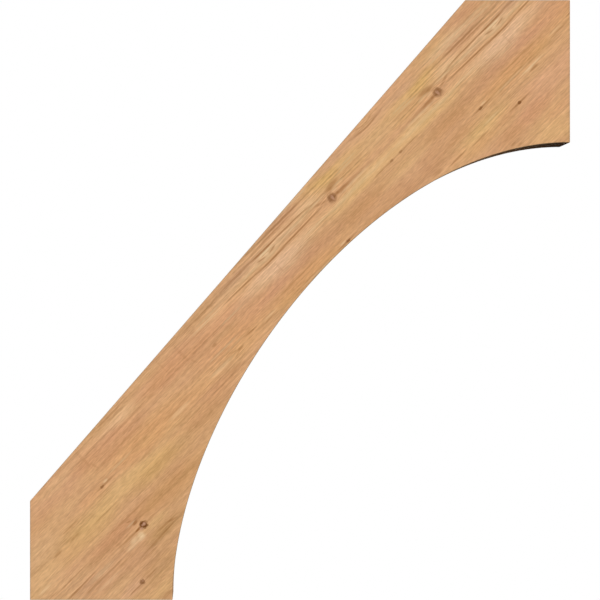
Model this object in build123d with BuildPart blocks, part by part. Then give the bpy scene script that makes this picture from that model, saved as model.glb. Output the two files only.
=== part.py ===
"""An arched eave bracket: one knee brace sawn from a single dressed timber.

It leans out from a wall. X runs out from the wall face, Y across the timber and Z up.
The origin is the centre of the plumb seat that goes against the wall. Sizes are millimetres.
"""

import os

from build123d import *

# Overall size of the brace
projection = 914.4  # wall face to the plumb outer end
rise = 1016.0  # level foot to the level soffit seat

# The timber that it is sawn from
thickness = 139.7  # the narrow side, kept whole across the brace
blank_width = 292.1  # the wide side, from the straight back edge to the line under the arch
eased_edge = 1.6  # radius sanded along the long edges, while the sawn ends stay square

# The arch, one cubic curve that leaves the foot plumb and meets the outer end level
foot_depth = 241.3  # level cut at the foot, from the wall to the arch
outer_end_height = 241.3  # plumb cut at the outer end, from the soffit down to the arch
lower_sweep = 320.5  # how far the curve is pulled straight up from the foot
upper_sweep = 340.7  # how far the curve is pulled straight back from the outer end

# The line between the arch's two ends, with the wall and the foot at zero
arch_foot = Vector(foot_depth, 0)
arch_head = Vector(projection, rise - outer_end_height)
lean = (arch_head - arch_foot).normalized()
to_back = Vector(-lean.Y, lean.X)

# The straight back edge is parallel to it, one blank width away, and ends at wall and soffit
back_point = arch_foot + to_back * blank_width
back_at_wall = back_point - lean * (back_point.X / lean.X)
back_at_soffit = back_point + lean * ((rise - back_point.Y) / lean.Y)

# The wall seat runs from the foot up to the back edge. Its centre is the origin of the part,
# and the side view is drawn on the far broad face, at the foot of the wall
seat_centre = back_at_wall.Y / 2
side_plane = Plane(origin=(0, thickness / 2, -seat_centre), x_dir=(1, 0, 0), z_dir=(0, -1, 0))

with BuildPart() as brace:
    with BuildSketch(side_plane) as side_view:
        with BuildLine() as outline:
            Polyline(
                arch_foot,
                (0, 0),
                back_at_wall,
                back_at_soffit,
                (projection, rise),
                arch_head,
            )
            Bezier(
                arch_head,
                arch_head - Vector(upper_sweep, 0),
                arch_foot + Vector(0, lower_sweep),
                arch_foot,
            )
        make_face()
    extrude(amount=thickness)

    # The four longest edges of the broad faces are those of the back and of the arch
    broad_faces = brace.faces().filter_by(Axis.Y)
    long_edges = broad_faces.edges().sort_by(SortBy.LENGTH)[-4:]
    fillet(long_edges, radius=eased_edge)

brace.part.label = "brace"

os.makedirs("parts", exist_ok=True)
export_step(brace.part, "parts/brace.step")

print("height of the wall seat:", round(back_at_wall.Y, 1), "mm")
print("depth of the soffit seat:", round(projection - back_at_soffit.X, 1), "mm")
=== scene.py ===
"""An arched eave bracket: one knee brace sawn from a single softwood timber, in its plain studio."""

import math

import bpy
import numpy as np
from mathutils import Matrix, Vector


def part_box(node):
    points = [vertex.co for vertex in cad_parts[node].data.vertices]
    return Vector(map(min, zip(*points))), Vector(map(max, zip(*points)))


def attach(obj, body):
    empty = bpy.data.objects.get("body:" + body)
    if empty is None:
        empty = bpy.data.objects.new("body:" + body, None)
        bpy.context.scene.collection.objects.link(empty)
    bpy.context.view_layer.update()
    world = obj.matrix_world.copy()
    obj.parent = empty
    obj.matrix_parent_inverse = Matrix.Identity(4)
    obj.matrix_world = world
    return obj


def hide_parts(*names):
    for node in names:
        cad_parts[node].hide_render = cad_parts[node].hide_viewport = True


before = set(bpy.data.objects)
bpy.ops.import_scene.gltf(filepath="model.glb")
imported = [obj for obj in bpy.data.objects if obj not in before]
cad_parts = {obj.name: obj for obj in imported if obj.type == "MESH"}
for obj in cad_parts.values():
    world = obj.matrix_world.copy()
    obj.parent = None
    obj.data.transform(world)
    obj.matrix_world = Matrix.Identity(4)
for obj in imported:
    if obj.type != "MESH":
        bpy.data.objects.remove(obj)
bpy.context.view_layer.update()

# The brace
# One dressed softwood timber, stood on a slant and sawn to shape: square cuts for the wall, the
# foot, the soffit and the outer end, and one long arch bandsawn out of the lower, outer side.
# The two straight and two curved long edges are eased with a sander; the sawn ends stay crisp.
low_corner, high_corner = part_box("brace")
foot_level = low_corner.z
projection = high_corner.x - low_corner.x
rise = high_corner.z - low_corner.z
half_thickness = (high_corner.y - low_corner.y) / 2

blank_width = 0.2921
foot_depth = 0.2413
outer_end_height = 0.2413
lower_sweep = 0.3205
upper_sweep = 0.3407

eased_edge = 0.0016
crisp_edge = 0.0004
easing_runs_out = 0.012
corner_arris = 0.0006
points_in_arris = 5
points_on_wall = 14
points_on_back = 96
points_on_soffit = 14
spans_over_face = 20
spans_over_thickness = 12
spans_in_easing = 4


def direction(start, end):
    """The unit direction from one point to another, where a point is x + z times the root of -1."""
    return (end - start) / abs(end - start)


def straight_side(start, end, count, trim):
    """Points evenly spaced between two corners, clear of both by a trim, with their outward
    direction, which is the way that the side runs, turned a quarter turn clockwise."""
    along = direction(start, end)
    share = (np.arange(count) + 1) / (count + 1)
    points = start + along * (trim + share * (abs(end - start) - 2 * trim))
    return points, np.full(count, -1j * along)


def arris(arriving, corner, leaving, radius, count):
    """A small arc that is tangent to the two sides of a corner. Its centre lies one radius inside
    the arriving side, and its points are a radius from it, in directions that turn with the corner."""
    turn = np.angle(leaving / arriving)
    centre = corner - arriving * radius * math.tan(turn / 2) + 1j * arriving * radius
    outward = -1j * arriving * np.exp(1j * np.linspace(0, turn, count))
    return centre + radius * outward, outward


def arch_side(foot, head, count, trim):
    """The arch as one cubic curve: it leaves the foot plumb and meets the outer end level. Its
    points are weighted sums of four control points, and the outward direction is its tangent,
    turned a quarter turn clockwise."""
    a, b, c, d = foot, foot + 1j * lower_sweep, head - upper_sweep, head
    t = np.linspace(trim / (3 * lower_sweep), 1 - trim / (3 * upper_sweep), count + 2)[1:-1]
    s = 1 - t
    points = s**3 * a + 3 * s * s * t * b + 3 * s * t * t * c + t**3 * d
    tangent = s * s * (b - a) + 2 * s * t * (c - b) + t * t * (d - c)
    return points, -1j * tangent / abs(tangent)


wall_foot = complex(0, 0)
arch_foot = complex(foot_depth, 0)
arch_head = complex(projection, rise - outer_end_height)
outer_top = complex(projection, rise)
lean = direction(arch_foot, arch_head)
back_point = arch_foot + 1j * lean * blank_width
back_at_wall = back_point - lean * back_point.real / lean.real
back_at_soffit = back_point + lean * (rise - back_point.imag) / lean.imag

# The arch with the arrises at its two ends, and the four sides across from it, from foot to head
points_on_arch = points_on_wall + points_on_back + points_on_soffit + 2 * points_in_arris
arch_parts = [
    arris(1, arch_foot, 1j, corner_arris, points_in_arris),
    arch_side(arch_foot, arch_head, points_on_arch, corner_arris),
    arris(1, arch_head, 1j, corner_arris, points_in_arris),
]
back_parts = [
    arris(1j, outer_top, -1, corner_arris, points_in_arris),
    straight_side(outer_top, back_at_soffit, points_on_soffit, corner_arris),
    arris(-1, back_at_soffit, -lean, corner_arris, points_in_arris),
    straight_side(back_at_soffit, back_at_wall, points_on_back, corner_arris),
    arris(-lean, back_at_wall, -1j, corner_arris, points_in_arris),
    straight_side(back_at_wall, wall_foot, points_on_wall, corner_arris),
    arris(-1j, wall_foot, 1, corner_arris, points_in_arris),
]
arch_points = np.concatenate([part[0] for part in arch_parts])
arch_outward = np.concatenate([part[1] for part in arch_parts])
back_points = np.concatenate([part[0] for part in back_parts])[::-1]
back_outward = np.concatenate([part[1] for part in back_parts])[::-1]

# The outline runs up the arch, up the outer end, back down the far sides and out along the foot
rows = len(arch_points)
inner_share = np.arange(1, spans_over_face) / spans_over_face
outer_end = arch_points[-1] + (back_points[-1] - arch_points[-1]) * inner_share
foot_cut = arch_points[0] + (back_points[0] - arch_points[0]) * inner_share
outline = np.concatenate([arch_points, outer_end, back_points[::-1], foot_cut[::-1]])
outward = np.concatenate(
    [
        arch_outward,
        np.full(len(outer_end), 1 + 0j),
        back_outward[::-1],
        np.full(len(foot_cut), -1j),
    ]
)


def easing(outline):
    """The radius of the eased edge at each point of the outline: full along the arch and the back,
    and running out smoothly to the crisp edge near the four sawn ends."""
    inside = np.minimum.reduce(
        [outline.real, projection - outline.real, outline.imag, rise - outline.imag]
    )
    share = np.clip(inside / easing_runs_out, 0, 1)
    return crisp_edge + (eased_edge - crisp_edge) * share * share * (3 - 2 * share)


def edge_band(outline, outward, radius):
    """The narrow faces with their eased edges: a profile carried round the outline. The profile
    turns a quarter circle off the near broad face, crosses the thickness straight, and turns a
    quarter circle onto the far one. Gives places and normals, one row for each outline point."""
    quarter = np.linspace(0, math.pi / 2, spans_in_easing + 1)
    across = np.linspace(-1, 1, spans_over_thickness + 1)[1:-1]
    inset = np.concatenate([1 - np.sin(quarter), 0 * across, 1 - np.sin(quarter[::-1])])
    depth = np.concatenate([np.cos(quarter) - 1, 0 * across - 1, np.cos(quarter[::-1]) - 1])
    side = np.concatenate([0 * quarter - 1, across, 0 * quarter + 1])
    r = radius[:, None]
    flat = outline[:, None] - outward[:, None] * r * inset
    y = side * (half_thickness + r * depth)
    places = np.stack([flat.real, y, flat.imag], -1)
    out = outward[:, None] * np.concatenate(
        [np.sin(quarter), 0 * across + 1, np.sin(quarter[::-1])]
    )
    facing = np.concatenate([-np.cos(quarter), 0 * across, np.cos(quarter[::-1])])
    normals = np.stack([out.real, facing + 0 * out.real, out.imag], -1)
    return places, normals


def face_grid(border, columns, y):
    """A broad face as a grid of straight rulings: each point is a share of the way from a point of
    the arch's edge to the matching point of the far edge. Gives the points between the two."""
    near, far = border
    share = np.arange(1, columns) / columns
    flat = near[1:-1, None] + (far - near)[1:-1, None] * share
    return np.stack([flat.real, 0 * flat.real + y, flat.imag], -1)


def brace_mesh():
    """Joins the edge band and the two broad faces at the vertices they share."""
    radius = easing(outline)
    band, band_normals = edge_band(outline, outward, radius)
    loop, stations = band.shape[:2]
    inset = outline - outward * radius
    far_start = rows + spans_over_face - 1
    border = inset[:rows], inset[far_start : far_start + rows][::-1]
    band_index = np.arange(loop * stations).reshape(loop, stations)
    places, normals, faces = [band.reshape(-1, 3)], [band_normals.reshape(-1, 3)], []
    following = np.roll(band_index, -1, axis=0)
    quads = [band_index[:, :-1], band_index[:, 1:], following[:, 1:], following[:, :-1]]
    faces.append(np.stack(quads, -1).reshape(-1, 4))
    used = loop * stations
    for station, side in ((0, -1), (stations - 1, 1)):
        inner = face_grid(border, spans_over_face, side * half_thickness)
        rim = band_index[:, station]
        grid = np.empty((rows, spans_over_face + 1), int)
        grid[:, 0] = rim[:rows]
        grid[-1, 1:-1] = rim[rows:far_start]
        grid[:, -1] = rim[far_start : far_start + rows][::-1]
        grid[0, 1:-1] = rim[far_start + rows :][::-1]
        grid[1:-1, 1:-1] = used + np.arange(inner[..., 0].size).reshape(inner.shape[:2])
        used += inner[..., 0].size
        places.append(inner.reshape(-1, 3))
        normals.append(np.tile([0.0, side, 0.0], (inner[..., 0].size, 1)))
        quads = [grid[:-1, :-1], grid[1:, :-1], grid[1:, 1:], grid[:-1, 1:]][::-side]
        faces.append(np.stack(quads, -1).reshape(-1, 4))
    places = np.concatenate(places) + [low_corner.x, 0, foot_level]
    return places, np.concatenate(normals), np.concatenate(faces)


def add_mesh(name, places, faces):
    """Puts whole arrays of places and faces into a new object that stands at the origin."""
    mesh = bpy.data.meshes.new(name)
    mesh.from_pydata(places.tolist(), [], faces.tolist(), shade_flat=False)
    piece = bpy.data.objects.new(name, mesh)
    bpy.context.scene.collection.objects.link(piece)
    return piece


places, normals, faces = brace_mesh()
brace = add_mesh("arched_brace", places, faces)
brace.data.normals_split_custom_set_from_vertices(normals.tolist())

# How squarely each spot cuts across the fibres, which rise at 45 degrees: not at all on the broad
# faces, hardly along the back edge, and most on the sawn ends
grain_run = np.array([1, 0, 1]) / math.sqrt(2)
cut = brace.data.attributes.new("cut_across_grain", "FLOAT", "POINT")
cut.data.foreach_set("value", abs(normals @ grain_run).astype(np.float32))


class Wire:
    """The output of a node, used as a number: arithmetic on it adds the Math nodes."""

    def __init__(self, finish, node, output):
        self.finish = finish
        self.node = node
        self.socket = node.outputs[output]

    def other(self, output):
        """Another output of the same node."""
        return Wire(self.finish, self.node, output)

    def __add__(self, other):
        return self.finish.maths("ADD", self, other)

    def __radd__(self, other):
        return self.finish.maths("ADD", other, self)

    def __sub__(self, other):
        return self.finish.maths("SUBTRACT", self, other)

    def __rsub__(self, other):
        return self.finish.maths("SUBTRACT", other, self)

    def __mul__(self, other):
        return self.finish.maths("MULTIPLY", self, other)

    def __rmul__(self, other):
        return self.finish.maths("MULTIPLY", other, self)

    def __truediv__(self, other):
        return self.finish.maths("DIVIDE", self, other)

    def __abs__(self):
        return self.finish.maths("ABSOLUTE", self)


class Finish:
    """The nodes of one material, or of the surroundings."""

    def __init__(self, owner):
        owner.use_nodes = True
        self.tree = owner.node_tree
        self.tree.nodes.clear()

    def add(self, kind, settings=None, inputs=None, output=0):
        """Makes a node, sets it up, and then gives its sockets their values or links."""
        node = self.tree.nodes.new("ShaderNode" + kind)
        for name, value in (settings or {}).items():
            setattr(node, name, value)
        for name, value in (inputs or {}).items():
            if isinstance(value, Wire):
                self.tree.links.new(value.socket, node.inputs[name])
            else:
                node.inputs[name].default_value = value
        return Wire(self, node, output) if node.outputs else None

    def maths(self, operation, *values):
        return self.add("Math", {"operation": operation}, dict(enumerate(values)))

    def vectors(self, operation, *values):
        return self.add("VectorMath", {"operation": operation}, dict(enumerate(values)))

    def tint(self, share, below, above):
        """Blends two colours by a share."""
        return self.add(
            "Mix",
            {"data_type": "RGBA", "clamp_factor": True},
            {"Factor": share, "A": below, "B": above},
            output="Result",
        )


def linear(red, green, blue):
    """A colour given in 8-bit display values, as the light that it stands for by the sRGB curve."""
    share = np.array([red, green, blue]) / 255
    light = np.where(share > 0.04045, ((share + 0.055) / 1.055) ** 2.4, share / 12.92)
    return (*light.tolist(), 1)


# The figure of the wood is laid out in millimetres: u along the fibres from the foot of the wall
# seat, w across the thickness from its middle, and v square to both, up towards the back edge.
# The fibres run at 45 degrees. The pith lies inside the timber, so the rings close round it.
millimetres = 1000
near_face = -half_thickness * millimetres
far_face = half_thickness * millimetres
pith_w = 22.0
pith_v = 47.0
ring_pitch = 4.6

timber = bpy.data.materials.new("dressed_softwood")
wood = Finish(timber)
foot_shift = -foot_level * millimetres / math.sqrt(2)
grain_place = wood.add(
    "Mapping",
    {"vector_type": "POINT"},
    {
        "Vector": wood.add("TexCoord", output="Object"),
        "Location": (foot_shift, 0, foot_shift),
        "Rotation": (0, math.radians(45), 0),
        "Scale": (millimetres, millimetres, millimetres),
    },
)


def at(u, w, v):
    """One place from its three coordinates."""
    return wood.add("CombineXYZ", {}, {"X": u, "Y": w, "Z": v})


def noise(place, size, detail, roughness, seed):
    """Smooth noise about zero, of a size given in millimetres along u, w and v. The detail is the
    number of finer layers over it, each weaker by the roughness. The seed shifts it elsewhere."""
    shrunk = wood.add(
        "Mapping",
        {"vector_type": "POINT"},
        {"Vector": place, "Location": (seed, seed, seed), "Scale": tuple(1 / s for s in size)},
    )
    inputs = {"Vector": shrunk, "Scale": 1.0, "Detail": detail, "Roughness": roughness}
    return wood.add("TexNoise", {"noise_dimensions": "3D"}, inputs, "Fac") - 0.5


def about(place, centre, reach, tilt=0.0):
    """Coordinates from a centre, in units of a reach along u, w and v, tilted along the face."""
    return wood.add(
        "Mapping",
        {"vector_type": "TEXTURE"},
        {
            "Vector": place,
            "Location": centre,
            "Rotation": (0, -math.radians(tilt), 0),
            "Scale": reach,
        },
    )


def nearness(local):
    """1 at the centre of such coordinates, falling evenly to 0 at the reach."""
    return wood.add("TexGradient", {"gradient_type": "SPHERICAL"}, {"Vector": local}, "Fac")


def soft(share, low=0.0, high=1.0):
    """Turns an even slope from low to high into one that starts and ends gently."""
    return wood.add(
        "MapRange",
        {"interpolation_type": "SMOOTHSTEP", "clamp": False},
        {"Value": share, "From Min": low, "From Max": high, "To Min": 0.0, "To Max": 1.0},
    )


# On the near half of the timber the figure of the upper end mirrors that below it. The two
# distances through the thickness say where the mirror image begins and ends to fade out.
mirror_u = 969.8
mirror_fades = (-25.0, 45.0)
run = wood.add("SeparateXYZ", {}, {"Vector": grain_place}, "X")
w = run.other("Y")
level_v = run.other("Z")
folded = mirror_u - abs(run - mirror_u)
far_half = soft(w, *mirror_fades)
u = folded + far_half * (run - folded)

# The fibres wander slowly, ripple a little, and swerve round each knot and eye
wander = 3.0
ripple = 1.3
swerve_depth = 75
v = level_v + wander * noise(at(u, w, level_v), (190, 110, 42), 1.0, 0.5, 3.7)
v = v + ripple * noise(at(u, w, v), (80, 60, 16), 1.0, 0.5, 9.3)

# Centre u, v, reach along, reach across, and how far the fibres are pushed aside
swerves = {
    near_face: [
        (842, 120, 62, 30, 24),
        (697, 129, 46, 20, 12),
        (225, -46, 44, 24, 18),
        (156, -113, 36, 18, 10),
        (697, 36, 44, 14, 7),
        (455, 47, 150, 18, 7),
        (220, 49, 20, 9, 4),
        (813, 50, 22, 10, 5),
        (757, 10, 24, 11, 5),
    ],
    far_face: [
        (330, 60, 60, 30, 26),
        (1010, 20, 64, 32, 28),
        (690, 95, 46, 24, 18),
        (128, -70, 44, 24, 18),
    ],
}
place = at(u, w, v)
swerved = v
for face, places_on_face in swerves.items():
    for at_u, at_v, along, across, strength in places_on_face:
        share = nearness(about(place, (at_u, face, at_v), (along, swerve_depth, across)))
        swerved = swerved - strength / across * (v - at_v) * (share * share)
place = at(u, w, swerved)

# Growth rings are shells about the pith, so their noise is stretched along and round it. Each
# ring darkens slowly into its late wood and ends at once.
shell_reach = 60.0
ring_waver = 5.0
late_wood_begins = 0.45
late_wood_ends = 0.95
cut_begins = 0.12
cut_full = 0.75
from_pith = wood.vectors("SUBTRACT", place, (0, pith_w, pith_v))
across_pith = wood.vectors("MULTIPLY", from_pith, (0, 1, 1))
radius = wood.add("VectorMath", {"operation": "LENGTH"}, {0: across_pith}, "Value")
bearing = wood.add(
    "SeparateXYZ", {}, {"Vector": wood.vectors("NORMALIZE", across_pith)}, "Y"
)
shell = at(u, shell_reach * bearing, radius + shell_reach)
bands = noise(shell, (600, 160, 11), 3.0, 0.8, 11.3)
fibres = noise(place, (560, 8, 8), 3.0, 0.9, 5.1)
flecks = noise(place, (11, 1.5, 1.5), 1.0, 0.6, 8.9)
hue = noise(place, (110, 70, 34), 1.0, 0.5, 14.6)

ring_wander = noise(shell, (500, 120, 30), 1.0, 0.5, 2.2)
ring_turn = wood.maths("FRACT", radius / ring_pitch + ring_waver * ring_wander)
late_wood = soft(ring_turn, late_wood_begins, late_wood_ends) - soft(ring_turn, late_wood_ends, 1.0)

cut_share = wood.add("Attribute", {"attribute_name": "cut_across_grain"}, {}, "Fac")
end_grain = soft(cut_share, cut_begins, cut_full)

# The wood's own colours
plain_tan = linear(206, 159, 115)
straw_tan = linear(213, 171, 123)
honey_tan = linear(216, 172, 120)
peach_tan = linear(217, 165, 119)
yellow_tan = linear(214, 173, 118)
olive_tan = linear(202, 160, 103)
orange_tan = linear(208, 156, 108)
pink_tan = linear(204, 150, 112)
rose_tan = linear(211, 160, 125)
red_tan = linear(199, 146, 106)
brown_tan = linear(197, 147, 103)
umber_tan = linear(187, 143, 97)
russet_tan = linear(189, 140, 95)
mauve_tan = linear(198, 153, 117)
cream_tan = linear(223, 183, 141)
end_brown = linear(176, 126, 82)
ring_brown = linear(140, 92, 52)
streak_brown = linear(142, 92, 46)
cream = linear(236, 207, 163)
knot_brown = linear(106, 60, 22)
heart_tan = linear(196, 150, 120)
# The grey-brown of the painted shade along the edges
edge_shade_grey = linear(148, 126, 98)

# Broad zones of colour, laid one over another: u, v, half length, half width, colour, strength
zones = {
    near_face: [
        (118, 14, 80, 26, olive_tan, 0.35),
        (42, 3, 36, 22, straw_tan, 0.6),
        (68, 42, 38, 18, straw_tan, 0.8),
        (109, 79, 28, 9, brown_tan, 0.35),
        (127, 63, 50, 14, straw_tan, 0.3),
        (178, 104, 44, 9, straw_tan, 0.5),
        (233, 96, 32, 11, brown_tan, 0.75),
        (244, 25, 80, 14, yellow_tan, 0.7),
        (197, 48, 26, 8, orange_tan, 0.5),
        (330, 8, 66, 15, olive_tan, 0.85),
        (378, 10, 22, 8, straw_tan, 0.45),
        (320, 48, 42, 11, brown_tan, 0.85),
        (285, 75, 40, 9, red_tan, 0.5),
        (296, 88, 60, 17, red_tan, 0.7),
        (330, 112, 44, 8, cream_tan, 0.45),
        (389, 114, 30, 8, rose_tan, 0.65),
        (440, 108, 70, 15, red_tan, 0.95),
        (508, 106, 40, 12, brown_tan, 0.95),
        (512, 114, 38, 8, mauve_tan, 0.3),
        (497, 84, 32, 9, brown_tan, 0.5),
        (560, 99, 32, 8, red_tan, 0.5),
        (593, 102, 36, 12, pink_tan, 0.5),
        (339, 59, 88, 16, orange_tan, 0.9),
        (322, 53, 24, 7, umber_tan, 0.35),
        (559, 68, 70, 15, orange_tan, 0.8),
        (450, 46, 50, 10, orange_tan, 0.5),
        (575, 46, 36, 9, peach_tan, 0.75),
        (495, 28, 38, 10, brown_tan, 0.7),
        (432, 17, 56, 17, brown_tan, 0.7),
        (186, -28, 64, 12, brown_tan, 0.98),
        (304, -32, 82, 17, russet_tan, 0.8),
        (72, -34, 34, 12, straw_tan, 0.45),
        (80, -58, 42, 12, mauve_tan, 0.4),
        (98, -68, 24, 7, umber_tan, 0.25),
        (166, -70, 36, 9, umber_tan, 0.45),
        (122, -92, 30, 10, straw_tan, 0.5),
        (240, -57, 26, 8, yellow_tan, 0.7),
        (245, -74, 42, 10, umber_tan, 0.9),
        (212, -93, 44, 12, umber_tan, 0.2),
        (196, -114, 34, 11, umber_tan, 0.9),
        (194, -116, 24, 7, mauve_tan, 0.3),
        (134, -110, 24, 9, mauve_tan, 0.7),
        (174, -146, 26, 11, yellow_tan, 0.3),
        (692, 103, 70, 12, cream_tan, 0.75),
        (712, 90, 44, 13, cream_tan, 0.75),
        (712, 134, 74, 8, cream_tan, 0.62),
        (608, 131, 34, 8, cream_tan, 0.25),
        (766, 171, 52, 8, cream_tan, 0.75),
        (772, 105, 50, 8, cream_tan, 0.30),
        (915, 103, 110, 9, honey_tan, 0.98),
        (905, 128, 52, 7, olive_tan, 0.5),
        (862, 122, 24, 7, brown_tan, 0.4),
        (846, 101, 30, 8, honey_tan, 0.5),
        (728, 78, 76, 12, red_tan, 0.6),
        (635, 82, 48, 12, pink_tan, 0.6),
        (864, 71, 50, 13, brown_tan, 0.85),
        (868, 44, 34, 8, brown_tan, 0.6),
        (925, 53, 24, 7, brown_tan, 0.4),
        (938, 34, 34, 9, brown_tan, 0.5),
        (970, 66, 44, 10, straw_tan, 0.4),
        (968, 139, 50, 11, straw_tan, 0.6),
        (895, 150, 74, 14, yellow_tan, 0.4),
        (872, 154, 56, 11, olive_tan, 0.9),
        (802, 146, 36, 8, mauve_tan, 0.5),
        (880, 163, 34, 6, mauve_tan, 0.7),
        (930, 160, 40, 8, mauve_tan, 0.4),
        (902, 150, 22, 5, straw_tan, 0.4),
        (899, 136, 26, 6, umber_tan, 0.5),
        (802, 141, 22, 7, cream_tan, 0.5),
        (643, 140, 42, 8, mauve_tan, 0.6),
        (729, 157, 58, 12, mauve_tan, 0.4),
        (712, 178, 36, 9, red_tan, 0.5),
        (830, 24, 48, 10, yellow_tan, 0.6),
        (850, 8, 30, 8, orange_tan, 0.5),
        (720, 57, 82, 11, orange_tan, 0.95),
        (695, 2, 54, 24, rose_tan, 0.4),
        (754, -17, 42, 12, pink_tan, 0.9),
        (892, 20, 26, 8, peach_tan, 0.4),
        (754, -60, 38, 17, honey_tan, 0.65),
        (721, -43, 26, 9, peach_tan, 0.6),
        (746, 11, 24, 7, brown_tan, 0.4),
        (808, -20, 26, 13, brown_tan, 0.7),
        (790, 9, 22, 8, red_tan, 0.5),
    ],
    far_face: [
        (480, 70, 90, 18, pink_tan, 0.8),
        (840, 40, 80, 22, yellow_tan, 0.7),
        (200, 20, 80, 24, orange_tan, 0.8),
        (120, -50, 60, 20, mauve_tan, 0.7),
        (330, -10, 70, 16, olive_tan, 0.7),
        (640, 120, 80, 14, cream_tan, 0.6),
        (700, 70, 70, 14, red_tan, 0.8),
        (960, 120, 90, 24, rose_tan, 0.7),
        (1150, 60, 90, 26, pink_tan, 0.8),
        (1120, -30, 70, 20, yellow_tan, 0.6),
        (1010, 150, 70, 16, brown_tan, 0.6),
    ],
}
patch_drift = 12.0
patch_spread = 1.75
patch_depth = 95
patch_core = 0.85
drifting = at(u, w, swerved + patch_drift * hue)


def patch(face, at_u, at_v, half_length, half_width):
    """An oval patch of a broad face with soft edges: 1 in its core, about a half at the given half
    length and width, and 0 at the spread."""
    reach = (patch_spread * half_length, patch_depth, patch_spread * half_width)
    return soft(nearness(about(drifting, (at_u, face, at_v), reach)), 0.0, patch_core)


colour = plain_tan
for face, tones in zones.items():
    for *oval, tone, strength in tones:
        colour = wood.tint(patch(face, *oval) * strength, colour, tone)

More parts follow.
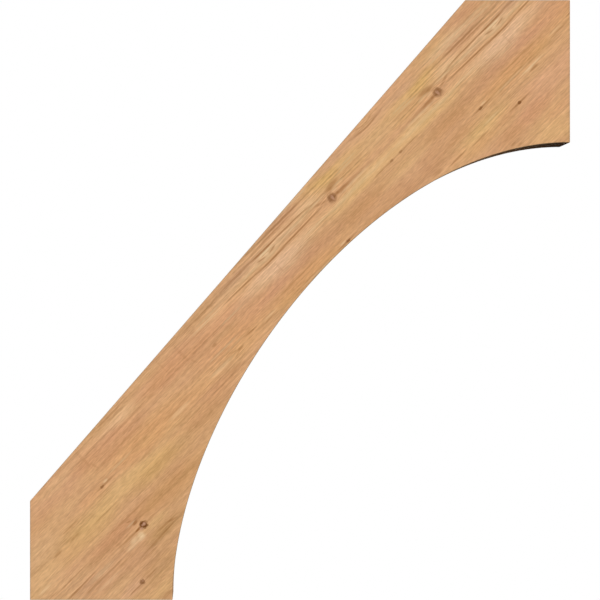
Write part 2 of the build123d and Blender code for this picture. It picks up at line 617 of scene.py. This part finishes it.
# Dark lines, from late wood and from round the knots, and pale ones, where the light catches early
# wood: u, v, half length, half width, tilt in degrees, strength
dark_lines = {
    near_face: [
        (628, 120.6, 40, 1.3, -2, 0.56),
        (697, 118.2, 30, 1.6, 0, 0.66),
        (770, 120.8, 50, 1.5, 1, 0.60),
        (642, 140.5, 44, 1.4, 0, 0.38),
        (696, 139.4, 26, 1.9, 0, 0.62),
        (752, 139.4, 42, 1.4, -1, 0.60),
        (804, 136.6, 22, 1.6, -6, 0.34),
        (756, 154.4, 46, 1.7, 0, 0.48),
        (730, 150.0, 48, 1.5, 0, 0.46),
        (684, 130.6, 8, 1.5, -11, 0.52),
        (710, 130.6, 8, 1.5, 11, 0.52),
        (806, 129.6, 14, 1.4, -5, 0.14),
        (822, 126.6, 12, 2.4, -18, 0.28),
        (886, 119.0, 44, 2.3, 0, 0.22),
        (866, 119.0, 17, 3.2, 0, 0.30),
        (855, 120.6, 4, 2.2, -8, 0.30),
        (857, 135.8, 15, 5.0, 6, 0.46),
        (864, 138.4, 8, 3.0, 2, 0.05),
        (881, 136.4, 12, 2.0, -6, 0.10),
        (958, 164.2, 22, 1.4, -5, 0.42),
        (960, 171.2, 9, 1.5, -13, 0.26),
        (944, 93.0, 32, 1.3, 0, 0.34),
        (720, 172.5, 16, 1.3, 0, 0.26),
        (711, 95.0, 34, 1.1, 0, 0.22),
        (698, 64.9, 46, 1.5, 0, 0.38),
        (68, -45.0, 24, 1.7, 0, 0.54),
        (100, -44.4, 14, 1.5, 0, 0.40),
        (96, -60.6, 24, 1.6, 0, 0.34),
        (138, -61.2, 20, 1.5, 0, 0.30),
        (135, -80.4, 44, 2.6, 0, 0.08),
        (104, -66.6, 26, 1.2, 0, 0.20),
        (68, -25.4, 34, 1.2, 0, 0.40),
        (32, -22.0, 10, 1.5, 0, 0.28),
        (220, -17.6, 48, 1.5, 0, 0.26),
        (200, -88.4, 26, 1.4, 0, 0.24),
        (216, -44.8, 8, 1.9, 0, 0.70),
        (193, -45.0, 20, 1.7, 0, 0.42),
        (218.4, -33.4, 5.6, 2.4, 8, 0.62),
        (212, -24.8, 5, 1.4, -25, 0.30),
        (252, -71.6, 17, 1.7, -3, 0.36),
        (268, -74.4, 9, 1.9, -16, 0.34),
        (256, -79.2, 14, 1.5, 5, 0.26),
        (222, -81.0, 34, 1.6, 2, 0.38),
        (140, -114.4, 14, 1.6, 0, 0.44),
        (176, -113.6, 14, 1.5, 0, 0.36),
        (172, -158, 12, 4.0, 0, 0.36),
        (88, 22.0, 10, 2.4, 0, 0.34),
        (129, 22.0, 10, 2.6, 0, 0.28),
        (56, 25.4, 20, 1.3, 0, 0.18),
        (136, 39.2, 18, 1.8, -1, 0.30),
        (198, 13.6, 36, 1.4, 0, 0.30),
        (230, 49.2, 21, 1.5, 0, 0.44),
        (228, 41.4, 28, 1.1, -1, 0.22),
        (215, 35.6, 20, 1.2, 1, 0.20),
        (313, 35.2, 17, 1.3, 2, 0.28),
        (310, 125.4, 34, 1.5, 0, 0.38),
        (324, 119.4, 22, 1.3, 0, 0.30),
        (290, 107.6, 26, 1.2, 0, 0.22),
        (308, 98.0, 54, 1.3, 0, 0.22),
        (330, 89.0, 30, 1.2, 0, 0.18),
        (310, 78.0, 40, 1.6, 0, 0.22),
        (540, 136.8, 42, 1.5, 0, 0.24),
        (512, 118.0, 46, 1.4, 0, 0.32),
        (546, 89.8, 34, 1.4, 0, 0.10),
        (526, 84.8, 5, 1.8, 0, 0.30),
        (554, 49.2, 6, 1.7, 0, 0.44),
        (544, 52.4, 10, 1.1, -14, 0.24),
        (544, 46.0, 10, 1.1, 14, 0.24),
        (358, 48.0, 10, 1.6, 0, 0.20),
        (586, 57.0, 14, 1.4, -4, 0.48),
        (542, 60.0, 36, 1.1, -3, 0.06),
        (410, 55.4, 26, 1.0, 2, 0.16),
        (400, 32.7, 18, 1.4, 0, 0.26),
        (525, 31.4, 18, 1.4, 0, 0.28),
        (806, 49.5, 24, 1.5, 0, 0.48),
        (757, 9.4, 22, 1.6, 0, 0.50),
        (698, 34.6, 10, 2.0, 0, 0.55),
        (898, 17.0, 22, 1.6, 0, 0.48),
        (940, 23.7, 11, 3.6, 0, 0.26),
        (850, 13.6, 22, 1.5, 0, 0.36),
        (890, 40.6, 34, 1.2, 0, 0.24),
        (618, 49.2, 18, 1.3, 0, 0.30),
        (815, -33.2, 5, 1.7, 0, 0.30),
        (807, -41.4, 5, 1.7, 0, 0.32),
        (755, 94.8, 28, 1.4, 0, 0.34),
        (767, 41.5, 50, 1.4, 0, 0.24),
        (652, 41.5, 26, 1.4, 0, 0.20),
        (511, 52.5, 22, 1.4, 0, 0.34),
        (244, -45.7, 13, 1.7, 0, 0.28),
        (100, -57.6, 24, 1.4, 0, 0.26),
        (758, 174.4, 36, 1.4, 0, 0.26),
        (592, 110.9, 36, 1.4, 0, 0.24),
        (558, 83.0, 48, 1.5, 0, 0.22),
        (668, 11.0, 12, 1.5, 0, 0.22),
        (152, -66.9, 23, 1.4, 0, 0.24),
        (902, 127.0, 17, 1.5, 0, 0.22),
        (155, -43.2, 46, 1.4, 0, 0.20),
        (737, -55.9, 14, 1.4, 0, 0.20),
        (136, -89.7, 24, 1.4, 0, 0.20),
        (795, 17.4, 26, 1.7, 0, 0.18),
        (924, 138.0, 40, 1.4, 0, 0.21),
        (168, -107.5, 22, 1.4, 0, 0.20),
        (150, -117.0, 10, 1.5, 0, 0.20),
        (180, -38.9, 30, 1.4, 0, 0.20),
        (397, 52.5, 30, 1.4, 0, 0.22),
        (308, 114.3, 40, 1.8, 0, 0.18),
        (80, 38.9, 20, 1.4, 0, 0.20),
        (322, -27.1, 18, 1.5, 0, 0.22),
        (666, 120.2, 11, 1.6, 0, 0.22),
        (730, 119.4, 26, 1.4, 0, 0.14),
        (836, 124.5, 11, 1.6, 0, 0.14),
        (386, 109.2, 40, 1.4, 0, 0.19),
        (176, -134.6, 17, 1.4, 0, 0.20),
        (243, -76.2, 16, 1.5, 0, 0.20),
        (335, 64.3, 40, 1.4, 0, 0.19),
        (232, 107, 2.8, 20, 0, 0.13),
        (238, 83, 1.8, 7, 20, 0.16),
        (262, 75.5, 22, 3.0, -3, 0.16),
        (476, 115, 3.0, 20, 0, 0.12),
        (482, 91, 1.8, 6, 20, 0.14),
        (171, -42, 4.0, 18, 0, 0.08),
        (437, 120, 1.8, 12, 0, 0.10),
        (697, 98, 1.8, 11, 0, 0.12),
    ],
    far_face: [
        (300, 60, 60, 2.0, 0, 0.45),
        (392, 61, 40, 1.4, 0, 0.30),
        (930, 20, 70, 2.0, 0, 0.50),
        (1080, 21, 50, 1.6, 0, 0.36),
        (620, 96, 60, 1.8, 0, 0.40),
        (760, 94, 44, 1.4, 0, 0.28),
        (180, -72, 50, 1.8, 0, 0.45),
        (90, -70, 26, 1.4, 0, 0.30),
        (820, 130, 90, 1.8, 0, 0.36),
        (790, 124, 50, 1.3, 0, 0.22),
        (500, 30, 80, 1.6, 0, 0.30),
        (440, 38, 60, 1.2, 0, 0.24),
        (1180, 80, 80, 1.8, 0, 0.38),
        (1150, 88, 50, 1.3, 0, 0.24),
        (120, 20, 60, 1.4, 0, 0.30),
        (240, 8, 50, 1.3, 0, 0.26),
        (980, 90, 60, 1.4, 0, 0.26),
        (620, 50, 60, 1.3, 0, 0.24),
    ],
}
pale_lines = {
    near_face: [
        (697, 135.9, 16, 1.9, 0, 0.50),
        (697.5, 130.7, 4.4, 2.2, 0, 0.26),
        (697, 125.6, 22, 1.8, 0, 0.20),
        (892, 114.2, 36, 1.8, 0, 0.25),
        (856, 127.6, 6, 2.4, -10, 0.20),
        (842, 103.5, 28, 5.0, 0, 0.12),
        (792, 105.8, 30, 1.5, 0, 0.28),
        (810, 24.6, 20, 1.4, 0, 0.28),
        (272, 56.7, 26, 1.4, 0, 0.26),
        (805, 162.6, 20, 1.4, 0, 0.26),
        (655, 127.8, 22, 1.4, 0, 0.26),
        (753, 169.3, 30, 1.5, 0, 0.26),
        (709, 88.9, 26, 1.4, 0, 0.12),
        (762, 131.2, 26, 1.4, 0, 0.24),
        (550, 61.0, 24, 1.4, 0, 0.14),
        (581, 99.1, 26, 1.4, 0, 0.28),
        (820, 132.9, 20, 1.4, 0, 0.30),
        (211, -30.4, 10, 1.4, 0, 0.28),
        (531, 68.6, 34, 1.4, 0, 0.28),
        (703, 163.4, 36, 1.4, 0, 0.28),
        (764, 162.6, 26, 1.4, 0, 0.28),
        (555, 127.0, 30, 1.4, 0, 0.26),
        (897, 142.2, 20, 1.4, 0, 0.28),
        (907, 147.3, 20, 1.4, 0, 0.26),
        (742, 47.4, 40, 1.4, 0, 0.24),
        (905, 104.4, 66, 4.2, 0, 0.22),
        (868, 131.0, 12, 2.0, -4, 0.20),
        (211, -54.4, 6, 4.4, 0, 0.46),
        (209, -59.8, 8, 3.2, 0, 0.38),
        (197, -53.0, 9, 3.4, 0, 0.34),
        (190, -58.5, 15, 3.4, 0, 0.28),
        (120, -53.0, 26, 4.0, 0, 0.16),
        (115, -72.4, 28, 2.2, 0, 0.16),
        (30, -5.6, 14, 2.2, 0, 0.28),
        (233, 52.6, 5, 1.8, 0, 0.42),
        (406, 47.4, 22, 3.6, 0, 0.20),
        (508, 49.4, 26, 3.6, 0, 0.22),
        (545, 122.0, 38, 1.8, 0, 0.28),
        (699, 39.6, 26, 1.5, 0, 0.40),
        (706, 37.6, 9, 1.3, 0, 0.20),
        (802, 52.6, 6, 1.6, 0, 0.34),
        (629, 53.8, 14, 1.5, 0, 0.24),
        (700, 170.0, 30, 2.4, 0, 0.20),
    ],
    far_face: [
        (330, 48, 24, 3.0, 0, 0.40),
        (1010, 33, 26, 3.4, 0, 0.44),
        (690, 101, 18, 2.0, 0, 0.36),
        (150, -60, 22, 2.6, 0, 0.30),
        (560, 44, 50, 1.8, 0, 0.24),
        (900, 98, 60, 1.8, 0, 0.24),
    ],
}
line_follows = 0.5
line_waver = 3.0
line_stretch = 1.45
line_swell = 1.5
line_depth = 26
line_core = 0.7
line_mottle = 1.2
marked = at(u, w, level_v + line_follows * (v - level_v) + line_waver * fibres)


def drawn(lines):
    """The sum of some lines, each full along its middle and thinning out to its two ends."""
    total = 0.0
    for face, lines_on_face in lines.items():
        for at_u, at_v, half_length, half_width, tilt, strength in lines_on_face:
            reach = (line_stretch * half_length, line_depth, line_swell * half_width)
            share = nearness(about(marked, (at_u, face, at_v), reach, tilt))
            total = total + strength * soft(share, 0.0, line_core)
    return total


dark = drawn(dark_lines) * (1 + line_mottle * fibres)
light = drawn(pale_lines)

# Light and dark of the grain itself, bolder in some parts of the near face and calmer in others:
# u, v, half length, half width, by how much
figure_parts = [
    (110, -85, 120, 50, 0.30),
    (160, -28, 40, 14, -0.35),
    (120, 70, 90, 30, -0.45),
    (290, 112, 60, 16, 0.80),
    (530, 45, 60, 28, 0.75),
    (520, 114, 80, 20, 0.85),
    (740, 132, 150, 32, 0.90),
    (860, 130, 50, 30, 0.60),
    (740, 38, 80, 20, 0.80),
    (930, 70, 110, 24, -0.50),
    (920, 104, 84, 10, -0.70),
]
plain_figure = 0.76
band_contrast = 0.42
fibre_contrast = 1.2
fleck_contrast = 0.68
red_swing, green_swing, blue_swing = 0.80, 0.86, 0.98
green_drift, blue_drift = 0.10, 0.14
rings_on_face = 0.03
rings_on_end = 0.36
end_browning = 0.75
figured = plain_figure
for *oval, amount in figure_parts:
    figured = figured + amount * patch(near_face, *oval)
grain = (band_contrast * bands + fibre_contrast * fibres) * figured + fleck_contrast * flecks
rings = late_wood * (rings_on_face + rings_on_end * end_grain)
level = at(
    1 + red_swing * grain,
    1 + green_swing * grain + green_drift * hue,
    1 + blue_swing * grain - blue_drift * hue,
)
colour = wood.tint(end_grain * end_browning, colour, end_brown)
colour = wood.vectors("MULTIPLY", colour, level)
colour = wood.tint(rings, colour, ring_brown)
colour = wood.tint(dark, colour, streak_brown)
colour = wood.tint(light, colour, cream)

# Knots: spindles that reach in towards the pith, with a ragged outline
jitter = wood.add(
    "TexNoise",
    {"noise_dimensions": "3D"},
    {"Vector": place, "Scale": 0.30, "Detail": 2.0, "Roughness": 0.6},
    "Color",
)
large_knot = 4
knot_spread = 1.3
knot_depth = 95
knot_core = 0.5
# u, v, half width, half height, strength
knots = {
    near_face: [
        (843.0, 119.8, 8.2, 8.2, 0.62),
        (226.2, -45.6, 7.0, 6.8, 0.92),
        (226.4, -41.0, 3.4, 2.8, 0.50),
        (228.6, -50.6, 3.4, 2.6, 0.50),
        (156.6, -112.8, 4.6, 4.4, 0.68),
        (221.8, 49.0, 4.2, 2.6, 0.54),
        (811.4, 49.3, 4.6, 2.3, 0.60),
        (757.6, 9.5, 3.6, 2.7, 0.70),
        (959.0, 93.0, 3.6, 2.0, 0.42),
    ],
    far_face: [
        (330.0, 60.0, 9.0, 10.0, 0.80),
        (1010.0, 20.0, 8.0, 9.0, 0.84),
        (690.0, 95.0, 5.0, 5.0, 0.75),
        (128.0, -70.0, 5.0, 6.0, 0.80),
        (560.0, 70.0, 3.4, 2.8, 0.75),
        (860.0, 128.0, 3.0, 2.4, 0.60),
    ],
}


def shaken(reach):
    """Coordinates moved about by up to half a reach in millimetres, for an uneven outline."""
    still = at(u - reach / 2, w, level_v - reach / 2)
    return wood.vectors("MULTIPLY_ADD", jitter, (reach, 0, reach), still)


knot_place = shaken(6.5)
small_knot_place = shaken(3.0)
for face, knots_on_face in knots.items():
    for at_u, at_v, half_width, half_height, strength in knots_on_face:
        slant = math.atan((pith_v - at_v) / (pith_w - face))
        local = wood.add(
            "Mapping",
            {"vector_type": "TEXTURE"},
            {
                "Vector": knot_place if half_width > large_knot else small_knot_place,
                "Location": (at_u, face, at_v),
                "Rotation": (slant, 0, 0),
                "Scale": (
                    knot_spread * half_width,
                    knot_depth,
                    knot_spread * half_height * math.cos(slant),
                ),
            },
        )
        colour = wood.tint(strength * soft(nearness(local), 0.0, knot_core), colour, knot_brown)

# The hearts of the larger knots are paler: u, v, half width, half height, strength
heart_depth = 40
heart_core = 0.8
hearts = {
    near_face: [
        (844.4, 119.0, 2.8, 8.0, 0.66),
        (227.4, -45.2, 5.9, 3.8, 0.88),
        (218.6, -48.0, 4.4, 4.0, 0.70),
        (158.0, -112.0, 2.6, 2.2, 0.30),
    ],
    far_face: [
        (330.0, 60.0, 3.0, 5.0, 0.7),
        (1010.0, 20.0, 3.0, 3.4, 0.7),
    ],
}
for face, hearts_on_face in hearts.items():
    for at_u, at_v, half_width, half_height, strength in hearts_on_face:
        reach = (half_width, heart_depth, half_height)
        share = nearness(about(knot_place, (at_u, face, at_v), reach))
        colour = wood.tint(soft(share, 0.0, heart_core) * strength, colour, heart_tan)

# Painted shade: the eased edges, and the broad faces' rims along the sawn ends, are darkened to a
# grey-brown outline that stands in for the shade along the edges. Each pair of distances in
# millimetres says where the grey starts and where it is full.
off_the_face = (0.02, 0.3)
off_the_side = (2.4, 1.4)
off_the_cut = (3.0, 0.6)
easing_shade = 0.65
rim_shade = 0.34
from_face = half_thickness * millimetres - abs(w)
on_easing = soft(from_face, *off_the_face) * soft(from_face, *off_the_side)
from_wall = wood.add("SeparateXYZ", {}, {"Vector": wood.add("TexCoord", output="Object")}, "X")
half_run = projection * millimetres / 2
half_rise = rise * millimetres / 2
middle_level = foot_level * millimetres + half_rise
from_plumb = half_run - abs(from_wall * millimetres - half_run)
from_level = half_rise - abs(from_wall.other("Z") * millimetres - middle_level)
at_rim = soft(wood.maths("MINIMUM", from_plumb, from_level), *off_the_cut) * (1 - end_grain)
# The painted edge shade: the stronger of the darkening on the eased edges and on the rims
painted_edge_shade = wood.maths("MAXIMUM", easing_shade * on_easing, rim_shade * at_rim)
colour = wood.tint(painted_edge_shade, colour, edge_shade_grey)

# The surface is sanded but not finished: dull, and faintly proud where the wood is harder
sheen = 0.02
relief = 0.0004
height = 0.5 * fibres + 0.3 * flecks + 0.25 * late_wood
wood.add(
    "OutputMaterial",
    {},
    {
        "Surface": wood.add(
            "BsdfPrincipled",
            {},
            {
                "Base Color": colour,
                "Roughness": 0.8 - 0.1 * late_wood + 0.1 * fibres,
                "Specular IOR Level": sheen,
                "Normal": wood.add(
                    "Bump", {}, {"Strength": 0.35, "Distance": relief, "Height": height}
                ),
            },
        )
    },
)
brace.data.materials.append(timber)
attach(brace, "root")
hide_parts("brace")

# The floor
# A plain pale studio floor, well below the foot, because the brace hangs from its wall and stands
# on nothing. It is white to the camera, and sends no light back up under the arch.
floor_drop = 0.4
floor_half = 3.5
floor_tone = 0.96
floor_corners = np.array([[-1, -1, 0], [1, -1, 0], [1, 1, 0], [-1, 1, 0]], float)
floor_places = floor_corners * floor_half + [projection / 2, 0, foot_level - floor_drop]
floor = add_mesh("studio_floor", floor_places, np.array([[0, 1, 2, 3]]))
pale = bpy.data.materials.new("pale_floor")
paint = Finish(pale)
seen = paint.add("LightPath", output="Is Camera Ray")
paint.add(
    "OutputMaterial",
    {},
    {
        "Surface": paint.add(
            "BsdfDiffuse",
            {},
            {"Color": paint.tint(seen, (0, 0, 0, 1), (floor_tone, floor_tone, floor_tone, 1))},
        )
    },
)
floor.data.materials.append(pale)

# The light
# A wide white ceiling gives the near face about a third of its light, and three broad soft lamps
# give the rest: one by the camera, one out in front of the arch and one behind by the wall.
ceiling_level = 0.7
horizon_blur = 0.04
sky = bpy.data.worlds.new("studio")
bpy.context.scene.world = sky
room = Finish(sky)
upward = room.add(
    "SeparateXYZ", {}, {"Vector": room.add("TexCoord", output="Generated")}, "Z"
)
ceiling = room.add(
    "MapRange",
    {"interpolation_type": "SMOOTHSTEP"},
    {
        "Value": upward,
        "From Min": -horizon_blur,
        "From Max": horizon_blur,
        "To Min": 0.0,
        "To Max": 1.0,
    },
)
rays = room.add("LightPath", output="Is Camera Ray")
shown = room.maths("MAXIMUM", rays, rays.other("Is Glossy Ray"))
shown = room.maths("MAXIMUM", shown, rays.other("Is Transmission Ray"))
room.add(
    "OutputWorld",
    {},
    {
        "Surface": room.add(
            "Background",
            {},
            {"Color": (1, 1, 1, 1), "Strength": shown + (1 - shown) * (ceiling_level * ceiling)},
        )
    },
)

# Azimuth and elevation in degrees, strength, and spread in degrees
lamps = {
    "by_camera": (-12, 15, 1.96, 30),
    "before_arch": (84, 6, 1.60, 40),
    "behind_wall": (200, 12, 2.10, 40),
}
for name, (azimuth, elevation, strength, spread) in lamps.items():
    lamp = bpy.data.lights.new(name, "SUN")
    lamp.energy = strength
    lamp.angle = math.radians(spread)
    holder = bpy.data.objects.new(name, lamp)
    holder.rotation_euler = (math.radians(90 - elevation), 0, math.radians(azimuth))
    bpy.context.scene.collection.objects.link(holder)

# The camera
# It looks square on at the near broad face from a little left of the middle, so that the outer
# part of the arch shows a thin sliver of its underside. The frame is shifted, not turned.
picture_size = 600
pixels_across_brace = 540
brace_left_pixel = 30
eye_pixel_x = 205.2
eye_pixel_y = 304.6
eye_distance = 4.76
pixel = projection / pixels_across_brace
sensor = 36.0

view = bpy.data.cameras.new("photo_view")
view.sensor_width = sensor
view.lens = sensor * eye_distance / (picture_size * pixel)
view.shift_x = (picture_size / 2 - eye_pixel_x) / picture_size
view.shift_y = (eye_pixel_y - picture_size / 2) / picture_size
camera = bpy.data.objects.new("photo_view", view)
camera.location = (
    low_corner.x + (eye_pixel_x - brace_left_pixel) * pixel,
    low_corner.y - eye_distance,
    foot_level + (picture_size - eye_pixel_y) * pixel,
)
camera.rotation_euler = (math.radians(90), 0, 0)
bpy.context.scene.collection.objects.link(camera)
bpy.context.scene.camera = camera
bpy.context.scene.view_settings.view_transform = "Standard"
